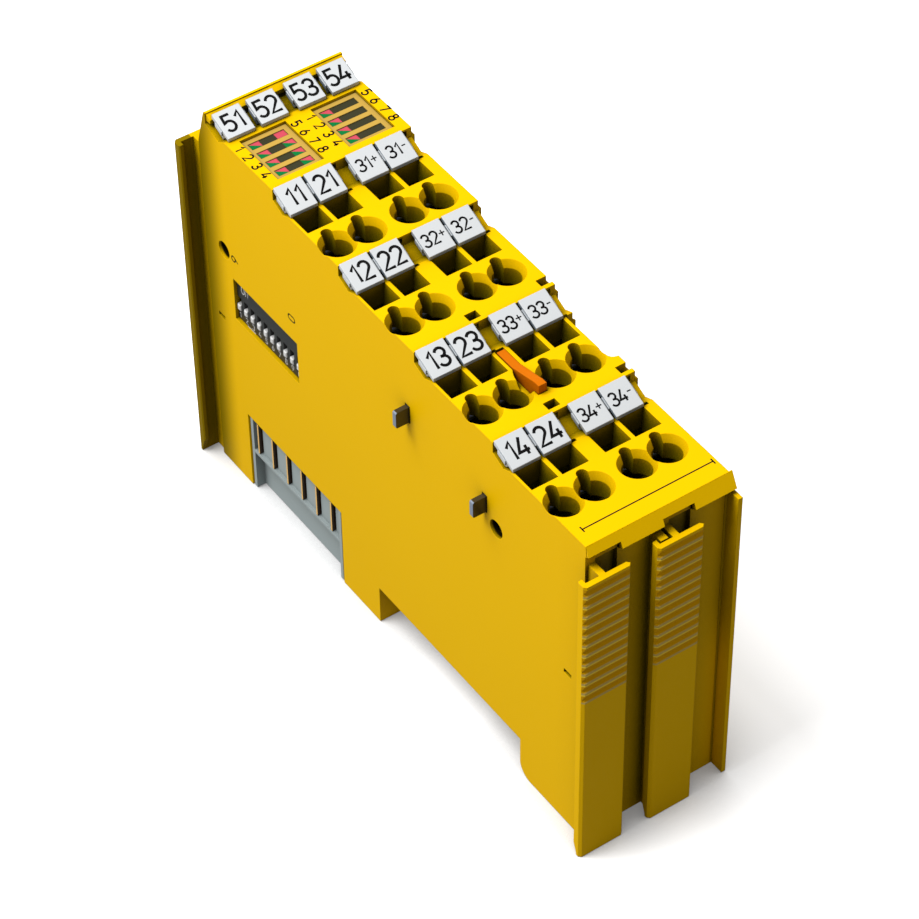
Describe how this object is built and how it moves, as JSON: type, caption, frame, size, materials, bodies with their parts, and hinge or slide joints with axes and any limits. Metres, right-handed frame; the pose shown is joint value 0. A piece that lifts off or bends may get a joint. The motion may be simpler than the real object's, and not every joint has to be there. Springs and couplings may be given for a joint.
{
  "type": "safety output module",
  "caption": "Double-width rail-mounted output module with a stepped front of spring clamps, tags, status lights, a release tab and side contacts.",
  "frame": {"origin": "middle of the seat that rests on the two flanges of the 35 mm mounting rail, halfway across the width", "axes": "+X along the rail, from the blade side to the cover side; +Y along the module, from the lowest clamp row to the status lights; +Z out of the front, away from the rail"},
  "size_m": [0.0264, 0.1, 0.0702],
  "materials": {
    "housing_plastic": "matte",
    "carrier_plastic": "matte",
    "tag_plastic": "satin",
    "window_plastic": "gloss",
    "bar_plastic": "satin",
    "lamp_resin": "satin",
    "switch_plastic": "satin",
    "slider_plastic": "satin",
    "tab_plastic": "satin",
    "latch_plastic": "satin",
    "circuit_board": "satin",
    "contact_copper": "polished",
    "tinned_copper": "satin",
    "spring_steel": "polished"
  },
  "bodies": {
    "module": {"housing": "housing_plastic", "bus_contact_carrier": "carrier_plastic", "bus_contacts": "contact_copper", "lamps_left": "lamp_resin", "lamps_right": "lamp_resin", "latch_spring": "spring_steel", "led_board": "circuit_board", "light_bars_left": "bar_plastic", "light_bars_right": "bar_plastic", "light_window_left": "window_plastic", "light_window_right": "window_plastic", "main_board": "circuit_board", "power_contact_1": "tinned_copper", "power_contact_2": "tinned_copper", "row_1_clamp_bars": "contact_copper", "row_1_clamp_springs": "spring_steel", "row_1_tag_1": "tag_plastic", "row_1_tag_2": "tag_plastic", "row_1_tag_3": "tag_plastic", "row_1_tag_4": "tag_plastic", "row_2_clamp_bars": "contact_copper", "row_2_clamp_springs": "spring_steel", "row_2_tag_1": "tag_plastic", "row_2_tag_2": "tag_plastic", "row_2_tag_3": "tag_plastic", "row_2_tag_4": "tag_plastic", "row_3_clamp_bars": "contact_copper", "row_3_clamp_springs": "spring_steel", "row_3_tag_1": "tag_plastic", "row_3_tag_2": "tag_plastic", "row_3_tag_3": "tag_plastic", "row_3_tag_4": "tag_plastic", "row_4_clamp_bars": "contact_copper", "row_4_clamp_springs": "spring_steel", "row_4_tag_1": "tag_plastic", "row_4_tag_2": "tag_plastic", "row_4_tag_3": "tag_plastic", "row_4_tag_4": "tag_plastic", "side_cover": "housing_plastic", "switch_body": "switch_plastic", "unit_tag_1": "tag_plastic", "unit_tag_2": "tag_plastic", "unit_tag_3": "tag_plastic", "unit_tag_4": "tag_plastic"},
    "release_tab": {"release_tab": "tab_plastic"},
    "rail_latch": {"rail_latch": "latch_plastic"},
    "switch_slider_1": {"switch_slider_1": "slider_plastic"},
    "switch_slider_2": {"switch_slider_2": "slider_plastic"},
    "switch_slider_3": {"switch_slider_3": "slider_plastic"},
    "switch_slider_4": {"switch_slider_4": "slider_plastic"},
    "switch_slider_5": {"switch_slider_5": "slider_plastic"},
    "switch_slider_6": {"switch_slider_6": "slider_plastic"},
    "switch_slider_7": {"switch_slider_7": "slider_plastic"},
    "switch_slider_8": {"switch_slider_8": "slider_plastic"},
    "switch_slider_9": {"switch_slider_9": "slider_plastic"},
    "switch_slider_10": {"switch_slider_10": "slider_plastic"}
  },
  "joints": [
    {"name": "pull_release_tab", "type": "slide", "parent": "module", "child": "release_tab", "axis": [0, 0, 1], "range_m": [0, 0.003]},
    {"name": "open_rail_latch", "type": "slide", "parent": "module", "child": "rail_latch", "axis": [0, 1, 0], "range_m": [0, 0.002], "stiffness_N_per_m": 1500, "springref_m": -0.002, "deforming": ["latch_spring"]},
    {"name": "set_switch_slider_1", "type": "slide", "parent": "module", "child": "switch_slider_1", "axis": [0, 0, 1], "range_m": [0, 0.0013]},
    {"name": "set_switch_slider_2", "type": "slide", "parent": "module", "child": "switch_slider_2", "axis": [0, 0, 1], "range_m": [0, 0.0013]},
    {"name": "set_switch_slider_3", "type": "slide", "parent": "module", "child": "switch_slider_3", "axis": [0, 0, 1], "range_m": [0, 0.0013]},
    {"name": "set_switch_slider_4", "type": "slide", "parent": "module", "child": "switch_slider_4", "axis": [0, 0, 1], "range_m": [0, 0.0013]},
    {"name": "set_switch_slider_5", "type": "slide", "parent": "module", "child": "switch_slider_5", "axis": [0, 0, 1], "range_m": [0, 0.0013]},
    {"name": "set_switch_slider_6", "type": "slide", "parent": "module", "child": "switch_slider_6", "axis": [0, 0, 1], "range_m": [0, 0.0013]},
    {"name": "set_switch_slider_7", "type": "slide", "parent": "module", "child": "switch_slider_7", "axis": [0, 0, 1], "range_m": [0, 0.0013]},
    {"name": "set_switch_slider_8", "type": "slide", "parent": "module", "child": "switch_slider_8", "axis": [0, 0, 1], "range_m": [0, 0.0013]},
    {"name": "set_switch_slider_9", "type": "slide", "parent": "module", "child": "switch_slider_9", "axis": [0, 0, 1], "range_m": [0, 0.0013]},
    {"name": "set_switch_slider_10", "type": "slide", "parent": "module", "child": "switch_slider_10", "axis": [0, 0, 1], "range_m": [0, 0.0013]}
  ],
  "couplings": [
    {"joint": "open_rail_latch", "follows": "pull_release_tab", "ratio": 0.66667}
  ]
}
